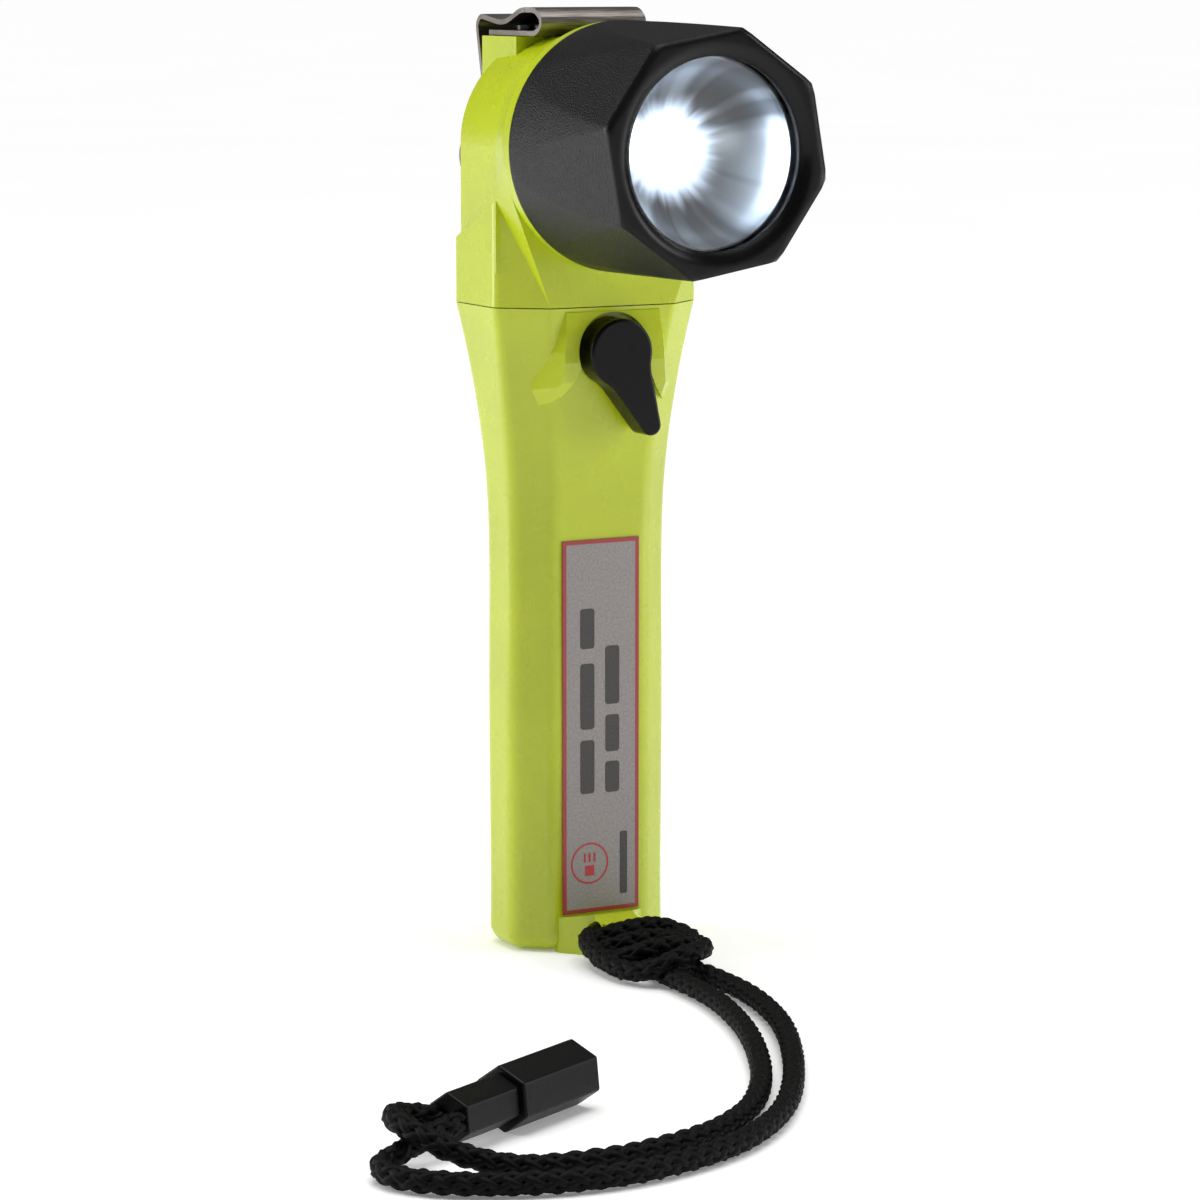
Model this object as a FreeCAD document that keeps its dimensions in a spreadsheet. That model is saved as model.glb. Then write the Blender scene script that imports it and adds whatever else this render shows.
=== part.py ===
import FreeCAD, Part
import math
import os

import Sketcher

V = FreeCAD.Vector
PARTS = "parts"

doc = FreeCAD.newDocument("hand_light")
dims = doc.addObject("Spreadsheet::Sheet", "dims")

# Driving dimensions in millimetres. +Z runs up the grip, -Y is the way the beam points,
# and the origin is the middle of the flat base.
SIZES = {
    # grip and flared collar: elongated octagons
    "grip_width": 35.4,
    "grip_depth": 21.4,
    "grip_front_flat": 21.0,
    "grip_side_flat": 10.7,
    "flare_start": 85.0,
    "split_height": 131.7,
    "flare_power": 1.8,
    "collar_width": 45.4,
    "collar_depth": 32.4,
    "collar_front_flat": 27.7,
    "collar_side_flat": 17.7,
    "grip_round": 4.4,
    "collar_round": 2.2,
    "base_round": 4.0,
    # cells: AA
    "cell_radius": 7.1,
    "cell_length": 50.0,
    "cell_spacing": 14.8,
    "cell_bore": 7.5,
    "floor_thick": 3.2,
    "cell_foot": 8.0,
    "nub_radius": 2.6,
    "nub_rise": 1.0,
    # steps of the inside of the collar
    "chamber_top": 117.0,
    "socket_floor": 127.0,
    "chamber_width": 30.4,
    "chamber_depth": 17.2,
    "board_low": 117.3,
    "socket_width": 32.8,
    "socket_depth": 21.0,
    # switch
    "switch_height": 122.8,
    "lever_radius": 6.85,
    "lever_reach": 16.2,
    "lever_tip": 2.1,
    "lever_back": 14.4,
    "lever_thick": 6.0,
    "lever_angle": -65.4,
    "lever_taper": 13.0,
    "lever_neck": 9.0,
    "spindle_radius": 2.4,
    "spindle_hole": 2.45,
    "recess_radius": 8.0,
    "recess_floor": 13.9,
    # brow over the switch
    "brow_front": 17.2,
    "brow_back": 11.0,
    # lanyard lug
    "lug_width": 8.6,
    "lug_root": 19.0,
    "lug_front": 21.5,
    "lug_rise": 9.0,
    "lug_root_rise": 7.3,
    "lug_hole": 2.5,
    "lug_hole_front": 17.6,
    "lug_hole_height": 4.9,
    # head
    "beam_height": 163.5,
    "arch_front": 9.7,
    "arch_back": 8.85,
    "arch_radius_front": 22.7,
    "arch_radius_back": 21.3,
    "shoulder_high": 153.0,
    "shoulder_low": 144.6,
    "ring_front": 18.9,
    "ring_radius": 24.4,
    "spigot_radius": 20.9,
    "spigot_front": 33.0,
    "lamp_bore": 17.4,
    "lamp_bore_back": 6.0,
    "spine_width": 26.4,
    "spine_back": 16.2,
    "spine_top": 184.7,
    "plug_gap": 0.25,
    "split_gap": 0.2,
    # shroud, measured along the beam from the grip's middle plane
    "shroud_rear": 19.3,
    "shroud_front": 58.7,
    "shroud_radius": 24.7,
    "shroud_front_radius": 24.3,
    "flat_apothem": 22.45,
    "shroud_turned": 12.5,
    "shroud_bore": 21.0,
    "lens_bore": 20.2,
    "lip_back": 56.4,
    "lip_radius": 18.4,
    "lip_chamfer": 2.2,
    # lamp
    "lens_radius": 19.9,
    "lens_back": 53.6,
    "lens_thick": 2.2,
    "reflector_radius": 18.0,
    "reflector_wall": 1.1,
    "reflector_back": 37.0,
    "led_board_back": 34.4,
    "sink_front": 14.0,
    # spring clip
    "clip_width": 23.4,
    "clip_thick": 1.0,
    "screw_radius": 1.2,
    "screw_spacing": 6.0,
    "screw_back": 9.0,
    # lanyard
    "cord_diameter": 4.3,
    "sleeve_side": 4.7,
    "sleeve_length": 15.0,
    "cap_side": 6.0,
    "cap_length": 22.0,
}

for row, (alias, value) in enumerate(SIZES.items(), start=1):
    dims.set(f"A{row}", alias.replace("_", " "))
    dims.set(f"B{row}", str(value))
    dims.setAlias(f"B{row}", alias)
doc.recompute()


def mm(alias):
    return float(dims.get(alias))


def bind(thing, settings):
    """Ties properties to expressions written in the sheet's aliases."""
    for prop, expression in settings.items():
        thing.setExpression(prop, expression)
    return thing


def result(thing, expression):
    value = thing.evalExpression(expression)
    return float(value.Value if hasattr(value, "Value") else value)


# Sketches on a body's own planes. On XZ the pad direction is -Y, which is the beam's way.

def new_body(label):
    body = doc.addObject("PartDesign::Body", label)
    body.Label = label
    return body


def sketch_on(body, plane, lift="0"):
    sketch = body.newObject("Sketcher::SketchObject", "sketch")
    origin = next(f for f in body.Origin.OriginFeatures if f.Role == plane)
    sketch.AttachmentSupport = [(origin, "")]
    sketch.MapMode = "FlatFace"
    sketch.setExpression("AttachmentOffset.Base.z", lift)
    return sketch


def pin_point(sketch, geometry, position, across, up):
    for kind, expression in (("DistanceX", across), ("DistanceY", up)):
        value = result(sketch, expression)
        number = sketch.addConstraint(Sketcher.Constraint(kind, -1, 1, geometry, position, value))
        sketch.setExpression(f"Constraints[{number}]", expression)


def outline(body, plane, corners, lift="0"):
    """A closed polygon whose corners are pairs of expressions."""
    sketch = sketch_on(body, plane, lift)
    places = [V(result(sketch, a), result(sketch, b), 0) for a, b in corners]
    count = len(corners)
    for i in range(count):
        sketch.addGeometry(Part.LineSegment(places[i], places[(i + 1) % count]), False)
    for i in range(count):
        sketch.addConstraint(Sketcher.Constraint("Coincident", i, 2, (i + 1) % count, 1))
    for i, (across, up) in enumerate(corners):
        pin_point(sketch, i, 1, across, up)
    return sketch


def disc(body, plane, radius, across="0", up="0", lift="0"):
    sketch = sketch_on(body, plane, lift)
    centre = V(result(sketch, across), result(sketch, up), 0)
    sketch.addGeometry(Part.Circle(centre, V(0, 0, 1), result(sketch, radius)), False)
    number = sketch.addConstraint(Sketcher.Constraint("Radius", 0, result(sketch, radius)))
    sketch.setExpression(f"Constraints[{number}]", radius)
    pin_point(sketch, 0, 3, across, up)
    return sketch


def rectangle(width, depth):
    a, b = f"({width}) / 2", f"({depth}) / 2"
    return [(f"-{a}", f"-{b}"), (a, f"-{b}"), (a, b), (f"-{a}", b)]


def box_corners(left, right, low, high):
    return [(left, low), (right, low), (right, high), (left, high)]


def pad(body, sketch, length):
    feature = body.newObject("PartDesign::Pad", "pad")
    feature.Profile = sketch
    feature.setExpression("Length", length)
    return feature


def pocket(body, sketch, depth, backwards=False, both=False):
    """Cuts against the sketch's normal, or along it when backwards is set."""
    doc.recompute()
    before = body.Shape.Volume
    feature = body.newObject("PartDesign::Pocket", "pocket")
    feature.Profile = sketch
    feature.Midplane = both
    feature.Reversed = backwards
    feature.setExpression("Length", depth)
    doc.recompute()
    if body.Shape.Volume > before - 0.01:
        raise RuntimeError(f"a pocket in {body.Label} cut nothing")
    return feature


def spun(body, corners):
    """Turns a profile about the beam."""
    height = "dims.beam_height"
    sketch = outline(body, "YZ_Plane", corners)
    line = Part.LineSegment(V(-80, result(sketch, height), 0), V(-60, result(sketch, height), 0))
    axis = sketch.addGeometry(line, True)
    sketch.addConstraint(Sketcher.Constraint("Horizontal", axis))
    pin_point(sketch, axis, 1, "-80", height)
    number = sketch.addConstraint(Sketcher.Constraint("DistanceX", axis, 1, axis, 2, 20.0))
    sketch.setExpression(f"Constraints[{number}]", "20")
    feature = body.newObject("PartDesign::Revolution", "turned")
    feature.Profile = sketch
    feature.ReferenceAxis = (sketch, ["Axis0"])
    feature.Angle = 360
    return feature


def soften(body, radius, wanted):
    """Rounds the edges of the body's tip that wanted() picks."""
    doc.recompute()
    base = body.Tip
    names = [f"Edge{i + 1}" for i, edge in enumerate(base.Shape.Edges) if wanted(edge)]
    feature = body.newObject("PartDesign::Fillet", "round")
    feature.Base = (base, names)
    feature.setExpression("Radius", radius)
    doc.recompute()
    return feature


# Plain solids and booleans

def cylinder(radius, height, place=(0, 0, 0)):
    solid = bind(doc.addObject("Part::Cylinder", "cylinder"), {"Radius": radius, "Height": height})
    return put(solid, place)


def box(width, depth, height, place=(0, 0, 0)):
    solid = doc.addObject("Part::Box", "box")
    bind(solid, {"Length": width, "Width": depth, "Height": height})
    return put(solid, place)


def put(solid, place):
    for axis, value in zip("xyz", place):
        solid.setExpression(f"Placement.Base.{axis}", str(value))
    return solid


def cut(base, *tools):
    for tool in tools:
        step = doc.addObject("Part::Cut", "cut")
        step.Base, step.Tool = base, tool
        base = step
    return base


def fuse(*solids):
    joined = doc.addObject("Part::MultiFuse", "fuse")
    joined.Shapes = list(solids)
    return joined


def group(*solids):
    together = doc.addObject("Part::Compound", "group")
    together.Links = list(solids)
    return together


SUB_PARTS = []


def keep(thing, label):
    thing.Label = label
    SUB_PARTS.append(thing)
    return thing


# Pieces round the beam are built with +Z along the beam and then laid on it.
FORWARD = FreeCAD.Rotation(V(1, 0, 0), 90)


def aim(thing, height="dims.beam_height", spin=0.0):
    thing.Placement = FreeCAD.Placement(V(0, 0, 0), FORWARD.multiply(FreeCAD.Rotation(V(0, 0, 1), spin)))
    thing.setExpression("Placement.Base.z", height)
    return thing


def ring(outer, inner, low, high):
    body = cylinder(outer, f"{high} - ({low})", (0, 0, low))
    hole = cylinder(inner, f"{high} - ({low}) + 2", (0, 0, f"{low} - 1"))
    return cut(body, hole)


# The case

LEVELS = (0.0, 0.24, 0.48, 0.7, 0.87, 1.0)  # shares of the flare's height with a section each
STRAIGHT = (0.0, 0.4, 0.75)  # shares of the straight grip's height with a section each
OCTAGON = ("width", "depth", "front_flat", "side_flat")


def rounded_loop(corners, radius):
    """A closed wire with every corner rounded to the same radius."""
    count, edges, ends = len(corners), [], []
    for i, corner in enumerate(corners):
        one, two = corners[i - 1] - corner, corners[(i + 1) % count] - corner
        one.normalize()
        two.normalize()
        half = one.getAngle(two) / 2
        middle = (one + two).normalize()
        reach, deep = radius / math.tan(half), radius / math.sin(half) - radius
        ends.append((corner + one * reach, corner + middle * deep, corner + two * reach))
    for i, (start, middle, end) in enumerate(ends):
        edges.append(Part.Arc(start, middle, end).toShape())
        edges.append(Part.LineSegment(end, ends[(i + 1) % count][0]).toShape())
    return Part.Wire(edges)


def case_section(share, height):
    """The outside of the case at one height: share runs from 0 in the grip to 1 at the collar."""
    grip, collar = ([mm(f"{part}_{n}") / 2 for n in OCTAGON] for part in ("grip", "collar"))
    blend = share ** mm("flare_power")
    w, d, f, s = (a + (b - a) * blend for a, b in zip(grip, collar))
    quarter = [(f, -d), (w, -s), (w, s), (f, d)]
    corners = quarter + [(-x, -y) for x, y in quarter]
    radius = mm("grip_round") + (mm("collar_round") - mm("grip_round")) * blend
    return rounded_loop([V(x, y, height) for x, y in corners], radius)


def core(label, shape):
    """A body that starts from a shape of its own."""
    start = doc.addObject("Part::Feature", f"{label}_core")
    start.Shape = shape
    body = new_body(label)
    body.BaseFeature = start
    doc.recompute()
    return body


def case_outside():
    start, rise = mm("flare_start"), mm("split_height") - mm("flare_start")
    sections = [case_section(0, start * s) for s in STRAIGHT]
    sections += [case_section(share, start + rise * share) for share in LEVELS]
    loft = Part.makeLoft(sections, True, False)
    rounded = loft.makeFillet(mm("base_round"), [edge for edge in loft.Edges if edge.BoundBox.ZMax < 0.01])
    return rounded.fuse(brow())


# One leg's outline, as (x, z), at the front of the brow and at its root, and the brow's side view, as (y, z)
BROW_FRONT = [(9.9, 130.9), (11.0, 123.0), (11.3, 116.4), (10.2, 114.2), (8.2, 118.6), (6.0, 122.4)]
BROW_ROOT = [(13.4, 130.9), (14.9, 123.0), (15.6, 115.4), (14.0, 112.2), (7.4, 117.4), (5.2, 121.4)]
BROW_AIR = [(-16.25, 131.4), (-16.8, 126.0), (-17.1, 121.0), (-16.6, 117.0), (-15.2, 114.2), (-11.0, 111.0),
            (-18.0, 111.0), (-18.0, 131.4)]


def brow():
    """An arch over the switch, whose two legs stand proud beside it as the case falls away."""
    outlines = []
    for leg, depth in ((BROW_FRONT, mm("brow_front")), (BROW_ROOT, mm("brow_back"))):
        around = leg + [(-x, z) for x, z in reversed(leg)]
        outlines.append(Part.makePolygon([V(x, -depth, z) for x, z in around + around[:1]]))
    wide = mm("collar_width")
    air = Part.Face(Part.makePolygon([V(-wide / 2, y, z) for y, z in BROW_AIR + BROW_AIR[:1]]))
    return Part.makeLoft(outlines, True, True).cut(air.extrude(V(wide, 0, 0)))


def battery_case():
    body = core("battery_case", case_outside())
    lanyard_lug(body)
    case_inside(body)
    return keep(body, "battery_case")


def lanyard_lug(body):
    """A foot on the front of the base, with a cross hole for the cord."""
    root, tip = "dims.lug_root / 2", "dims.lug_width / 2"
    side = [(root, "-9"), (root, "-dims.grip_depth / 2"), (tip, "-dims.lug_hole_front + 1")]
    nose = [(tip, "-dims.lug_front + 1.5"), (f"{tip} - 1.5", "-dims.lug_front")]
    right = side + nose
    left = [(f"-({x})", y) for x, y in reversed(right)]
    pad(body, outline(body, "XY_Plane", right + left), "dims.lug_rise")
    crown = [
        ("-dims.grip_depth / 2", "dims.lug_root_rise"),
        ("-dims.lug_hole_front + 1", "dims.lug_rise - 0.5"),
        ("-dims.lug_front - 1", "dims.lug_rise - 2.4"),
        ("-dims.lug_front - 1", "dims.lug_rise + 0.1"),
        ("-dims.grip_depth / 2", "dims.lug_rise + 0.1"),
    ]
    pocket(body, outline(body, "YZ_Plane", crown), "dims.lug_root + 2", both=True)
    hole = disc(body, "YZ_Plane", "dims.lug_hole", "-dims.lug_hole_front", "dims.lug_hole_height")
    pocket(body, hole, "dims.lug_root + 4", both=True)


def case_inside(body):
    socket = rectangle("dims.socket_width", "dims.socket_depth")
    opening = outline(body, "XY_Plane", socket, "dims.split_height")
    pocket(body, opening, "dims.split_height - dims.socket_floor")
    chamber = rectangle("dims.chamber_width", "dims.chamber_depth")
    depth = "dims.socket_floor - dims.chamber_top"
    pocket(body, outline(body, "XY_Plane", chamber, "dims.socket_floor"), depth)
    for side in ("", "-"):
        bore = disc(body, "XY_Plane", "dims.cell_bore", f"{side}dims.cell_spacing / 2", "0", "dims.chamber_top")
        pocket(body, bore, "dims.chamber_top - dims.floor_thick")
    groove = box_corners("-3.2", "3.2", "-0.5", "8.2")
    pocket(body, outline(body, "XY_Plane", groove, "dims.chamber_top"), "dims.chamber_top - dims.floor_thick")
    recess = disc(body, "XZ_Plane", "dims.recess_radius", "0", "dims.switch_height", "dims.recess_floor")
    pocket(body, recess, "6", backwards=True)
    spindle = disc(body, "XZ_Plane", "dims.spindle_hole", "0", "dims.switch_height", "dims.recess_floor + 1")
    pocket(body, spindle, "dims.recess_floor + 1 - dims.chamber_depth / 2 + 0.5")
    seat = disc(body, "XZ_Plane", "dims.spindle_radius + 1.75", "0", "dims.switch_height", "dims.recess_floor")
    pocket(body, seat, "1.7")


def label_plate():
    plate = box("17.4", "0.25", "76.7", ("-8.7", "-dims.grip_depth / 2 - 0.33", "7.8"))
    return keep(plate, "label_plate")


def cells():
    number = 0
    for side in ("-", ""):
        for layer in (0, 1):
            number += 1
            foot = f"dims.cell_foot + {layer} * dims.cell_length"
            across = f"{side}dims.cell_spacing / 2"
            can = cylinder("dims.cell_radius", "dims.cell_length - dims.nub_rise", (across, 0, foot))
            nub_foot = f"{foot} + dims.cell_length - dims.nub_rise"
            nub = cylinder("dims.nub_radius", "dims.nub_rise - 0.05", (across, 0, nub_foot))
            keep(fuse(can, nub), f"battery_{number}")


def base_contacts():
    plate = box("24", "5.3", "0.5", ("-12", "-0.9", "dims.floor_thick"))
    keep(plate, "base_contact")
    springs = []
    for side in ("-", ""):
        for turn in range(4):
            coil = doc.addObject("Part::Torus", "coil")
            bind(coil, {"Radius1": f"4.4 - {turn} * 0.6", "Radius2": "0.4"})
            put(coil, (f"{side}dims.cell_spacing / 2", 0, f"dims.floor_thick + 1.0 + {turn} * 1.0"))
            springs.append(coil)
    keep(group(*springs), "base_springs")
    strip = box("4", "0.5", "dims.chamber_top - dims.floor_thick - 1", ("-2", "7.3", "dims.floor_thick + 0.6"))
    keep(strip, "case_conductor")
    tab = box("2.4", "2.9", "0.5", ("4.6", "-dims.chamber_depth / 2 + 0.05", "dims.switch_height - 1.8"))
    keep(tab, "switch_contact")


# The switch

def switch_lever():
    """A teardrop: a round boss that narrows through hollow necks into a tapered arm with a round tip."""
    big, small, reach = mm("lever_radius"), mm("lever_tip"), mm("lever_reach")
    taper, hollow = math.radians(mm("lever_taper")), mm("lever_neck")
    out, along = V(math.sin(taper), math.cos(taper), 0), V(math.cos(taper), -math.sin(taper), 0)
    clear = reach * math.sin(taper) + small
    neck = out * (clear + hollow) + along * math.sqrt((big + hollow) ** 2 - (clear + hollow) ** 2)
    on_boss, on_arm, on_tip = neck * (big / (big + hollow)), neck - out * hollow, V(reach, 0, 0) + out * small
    between = neck - ((neck - on_boss) + (neck - on_arm)).normalize() * hollow

    def below(point):
        return V(point.x, -point.y, 0)

    edges = [
        Part.Arc(on_boss, V(-big, 0, 0), below(on_boss)),
        Part.Arc(below(on_boss), below(between), below(on_arm)),
        Part.LineSegment(below(on_arm), below(on_tip)),
        Part.Arc(below(on_tip), V(reach + small, 0, 0), on_tip),
        Part.LineSegment(on_tip, on_arm),
        Part.Arc(on_arm, between, on_boss),
    ]
    face = Part.Face(Part.Wire([edge.toShape() for edge in edges]))
    back, thick = mm("lever_back"), mm("lever_thick")
    face.translate(V(0, 0, back))
    body = core("switch_lever", face.extrude(V(0, 0, thick)))
    soften(body, "0.7", lambda e: e.BoundBox.ZMin > back + thick - 0.01)
    aim(body, "dims.switch_height", mm("lever_angle"))
    return keep(body, "switch_lever")


def switch_axle():
    inner = "dims.chamber_depth / 2"
    spindle = cylinder("dims.spindle_radius", f"dims.lever_back - {inner} + 3", (0, 0, f"{inner} - 3"))
    keep(laid(spindle), "switch_spindle")
    seal = doc.addObject("Part::Torus", "torus")
    bind(seal, {"Radius1": "dims.spindle_radius + 0.88", "Radius2": "0.78"})
    put(seal, (0, 0, "dims.recess_floor - 0.85"))
    keep(laid(seal), "switch_seal")
    washer = ring("dims.spindle_radius + 1.8", "dims.spindle_radius + 0.02", f"{inner} - 1.0", f"{inner} - 0.2")
    keep(aim(washer, "dims.switch_height"), "switch_retainer")
    wiper = box("9", "2.2", "0.4", ("-4.5", "-1.1", f"{inner} - 3.4"))
    keep(laid(wiper), "switch_wiper")


def laid(solid, height="dims.switch_height"):
    """Lays one placed solid on the beam or the switch axis."""
    return aim(group(solid), height)


# The head

def head_housing():
    body = core("head_housing", head_outside())
    head_front(body)
    head_plug(body)
    head_inside(body)
    return keep(body, "head_housing")


def head_outside():
    """Column with sloping shoulders, round-topped arch, flat-backed spine and front skirt."""
    low, wide = mm("split_height") + mm("split_gap"), 2 * mm("collar_width")
    column = Part.Face(case_section(1, low)).extrude(V(0, 0, 40))
    back, front = mm("arch_back"), -mm("arch_front")
    drop = (mm("shoulder_high") - mm("shoulder_low")) / (back - front)
    deep = mm("collar_depth")
    shoulder = [
        V(-wide / 2, deep, mm("shoulder_low") - drop * (deep - back)),
        V(-wide / 2, front, mm("shoulder_high")),
        V(-wide / 2, -deep, mm("shoulder_high")),
        V(-wide / 2, -deep, mm("beam_height") + 20),
        V(-wide / 2, deep, mm("beam_height") + 20),
    ]
    column = column.cut(Part.Face(Part.makePolygon(shoulder + shoulder[:1])).extrude(V(wide, 0, 0)))
    foot = mm("shoulder_low") - 6
    arch = Part.makeLoft(
        [arch_outline(front, mm("arch_radius_front"), foot), arch_outline(back, mm("arch_radius_back"), foot)],
        True, True,
    )
    half = mm("spine_width") / 2
    spine_low = mm("split_height") + 5
    spine = Part.makeBox(2 * half, mm("spine_back"), mm("spine_top") - spine_low, V(-half, 0, spine_low))
    back, low = mm("spine_back") - 0.01, spine_low + 1
    rear = [e for e in spine.Edges if e.BoundBox.YMin > back and e.BoundBox.ZMax > low]
    spine = spine.makeFillet(1.2, rear)
    solid = column.multiFuse([arch, spine, skirt(front)])
    seat = Part.makeBox(wide, mm("spine_back") + 12, 10, V(-wide / 2, front + 0.4, mm("spine_top")))
    return solid.cut(seat).removeSplitter()


def arch_outline(y, radius, foot):
    top = mm("beam_height")
    arc = Part.Arc(V(radius, y, top), V(0, y, top + radius), V(-radius, y, top)).toShape()
    left, right = V(-radius, y, foot), V(radius, y, foot)
    legs = Part.makePolygon([V(-radius, y, top), left, right, V(radius, y, top)])
    return Part.Wire([arc] + legs.Edges)


def skirt(back):
    """Carries the round front down to the flat front of the collar with straight slanting sides."""
    top, low, foot = mm("beam_height"), mm("split_height") + mm("split_gap"), mm("collar_front_flat") / 2
    small, large, front = mm("arch_radius_front"), mm("ring_radius"), -mm("collar_depth") / 2
    reach = math.hypot(foot, top - low)
    touch = math.atan2(low - top, foot) + math.acos(large / reach)
    middle = touch / 2
    sections = []
    for y, radius, joint in (
        (back, small, V(small, back, mm("shoulder_high"))),
        (front, large, V(large * math.cos(touch), front, top + large * math.sin(touch))),
    ):
        mirror = V(-joint.x, joint.y, joint.z)
        over = Part.Arc(V(radius, y, top), V(0, y, top + radius), V(-radius, y, top)).toShape()
        slants = Part.makePolygon([mirror, V(-foot, y, low), V(foot, y, low), joint]).Edges
        if y == front:
            bend = V(large * math.cos(middle), y, top + large * math.sin(middle))
            left = Part.Arc(V(-radius, y, top), V(-bend.x, y, bend.z), mirror).toShape()
            right = Part.Arc(joint, bend, V(radius, y, top)).toShape()
        else:
            left = Part.LineSegment(V(-radius, y, top), mirror).toShape()
            right = Part.LineSegment(joint, V(radius, y, top)).toShape()
        sections.append(Part.Wire([over, left] + slants + [right]))
    return Part.makeLoft(sections, True, True)


def head_front(body):
    """The ring behind the shroud and the spigot that the shroud screws on."""
    z = "dims.beam_height"
    profile = [
        ("-dims.collar_depth / 2 + 3", z),
        ("-dims.collar_depth / 2 + 3", f"{z} + dims.arch_radius_front - 1"),
        ("-dims.collar_depth / 2", f"{z} + dims.ring_radius"),
        ("-dims.ring_front", f"{z} + dims.ring_radius"),
        ("-dims.ring_front", f"{z} + dims.spigot_radius"),
        ("-dims.spigot_front + 0.8", f"{z} + dims.spigot_radius"),
        ("-dims.spigot_front", f"{z} + dims.spigot_radius - 0.8"),
        ("-dims.spigot_front", z),
    ]
    spun(body, profile)
    doc.recompute()


def head_plug(body):
    """The neck that seals in the collar, and the tongue that carries the contacts."""
    low, top = "dims.socket_floor + 0.3", "dims.split_height + dims.split_gap"
    neck = rectangle("dims.socket_width - 2 * dims.plug_gap", "dims.socket_depth - 2 * dims.plug_gap")
    pad(body, outline(body, "XY_Plane", neck, low), f"{top} - ({low}) + 1")
    tongue = box_corners("-11", "11", "1.5", "8")
    pad(body, outline(body, "XY_Plane", tongue, "dims.board_low + 1.52"), "dims.split_height - dims.board_low")
    doc.recompute()


def head_inside(body):
    z = "dims.beam_height"
    bore = disc(body, "XZ_Plane", "dims.lamp_bore", "0", z, "dims.spigot_front")
    pocket(body, bore, "dims.spigot_front + dims.lamp_bore_back")
    channel = disc(body, "XY_Plane", "2.2", "0", "4.4", z)
    pocket(body, channel, "dims.beam_height - dims.chamber_top + 3")
    for across in ("-dims.screw_spacing", "dims.screw_spacing"):
        pilot = disc(body, "XY_Plane", "dims.screw_radius + 0.03", across, "dims.screw_back", "dims.spine_top")
        pocket(body, pilot, "4.2")
    inner = rectangle("dims.socket_width - 2 * dims.plug_gap - 3", "dims.socket_depth - 2 * dims.plug_gap - 3")
    outer = rectangle("dims.socket_width + 4", "dims.socket_depth + 4")
    groove_low = "dims.socket_floor + 1.6"
    sketch = outline(body, "XY_Plane", outer, groove_low)
    add_outline(sketch, inner)
    pocket(body, sketch, "1.9", backwards=True)


def add_outline(sketch, corners):
    """Adds a second closed polygon, which leaves an island in a pocket."""
    first = sketch.GeometryCount
    places = [V(result(sketch, a), result(sketch, b), 0) for a, b in corners]
    count = len(corners)
    for i in range(count):
        sketch.addGeometry(Part.LineSegment(places[i], places[(i + 1) % count]), False)
    for i in range(count):
        sketch.addConstraint(Sketcher.Constraint("Coincident", first + i, 2, first + (i + 1) % count, 1))
    for i, (across, up) in enumerate(corners):
        pin_point(sketch, first + i, 1, across, up)


def case_seal():
    body = new_body("case_seal")
    outer = rectangle("dims.socket_width - 0.1", "dims.socket_depth - 0.1")
    width, depth = (f"dims.socket_{way} - 2 * dims.plug_gap - 2.9" for way in ("width", "depth"))
    inner = rectangle(width, depth)
    sketch = outline(body, "XY_Plane", outer, "dims.socket_floor + 1.65")
    add_outline(sketch, inner)
    pad(body, sketch, "1.8")
    return keep(body, "case_seal")


def head_electrics():
    board_low = "dims.board_low"
    keep(box("26", "13", "1.5", ("-13", "-4.8", board_low)), "contact_board")
    leaves = []
    for side in ("-", ""):
        foot = f"dims.cell_foot + 2 * dims.cell_length + 0.1"
        across = f"{side}dims.cell_spacing / 2"
        leaves.append(cylinder("2.2", f"{board_low} - ({foot})", (across, 0, foot)))
    keep(group(*leaves), "contact_leaves")
    board = box("20", "22", "1.5", ("-10", "-11", "-5.6"))
    keep(laid(board, "dims.beam_height"), "driver_board")
    leads = []
    for across in ("-1.0", "1.0"):
        foot = "dims.board_low + 1.52"
        leads.append(cylinder("0.6", f"dims.beam_height - 11.6 - ({foot})", (across, "4.85", foot)))
    keep(group(*leads), "lamp_leads")


def lamp():
    """Everything on the beam behind the glass."""
    drum = cylinder("dims.lamp_bore - 0.6", "dims.sink_front + 3.6", (0, 0, "-3.6"))
    grooves = [
        ring("dims.lamp_bore + 1", "dims.lamp_bore - 4.5", f"{low}", f"{low} + 1.6")
        for low in (-1.4, 1.8, 5.0, 8.2)
    ]
    stem = cylinder("9.5", "dims.led_board_back - dims.sink_front + 1", (0, 0, "dims.sink_front - 1"))
    keep(aim(fuse(cut(drum, *grooves), stem)), "heat_sink")
    keep(laid(cylinder("9", "1.5", (0, 0, "dims.led_board_back + 0.02")), "dims.beam_height"), "led_board")
    top = "dims.led_board_back + 1.55"
    base = box("5", "5", "1.4", ("-2.5", "-2.5", top))
    dome = doc.addObject("Part::Sphere", "sphere")
    bind(dome, {"Radius": "2.2"})
    dome.Angle1 = 0
    put(dome, (0, 0, f"{top} + 1.3"))
    keep(aim(fuse(base, dome)), "led_dome")
    reflector()
    glass = cylinder("dims.lens_radius", "dims.lens_thick", (0, 0, "dims.lens_back"))
    keep(laid(glass, "dims.beam_height"), "lens")
    low = "dims.lens_back + dims.lens_thick + 0.05"
    keep(aim(ring("dims.lens_radius", "dims.lip_radius + 0.1", low, "dims.lip_back - 0.05")), "lens_seal")
    inner = "dims.reflector_radius + dims.reflector_wall + 0.15"
    keep(aim(ring("dims.lens_bore - 0.1", inner, "50.4", "52.2")), "lens_clamp_ring")


def bowl(radius, length, front):
    solid = doc.addObject("Part::Ellipsoid", "bowl")
    bind(solid, {"Radius1": length, "Radius2": radius, "Radius3": radius})
    solid.Angle1, solid.Angle2 = -90, 0
    return put(solid, (0, 0, front))


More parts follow.
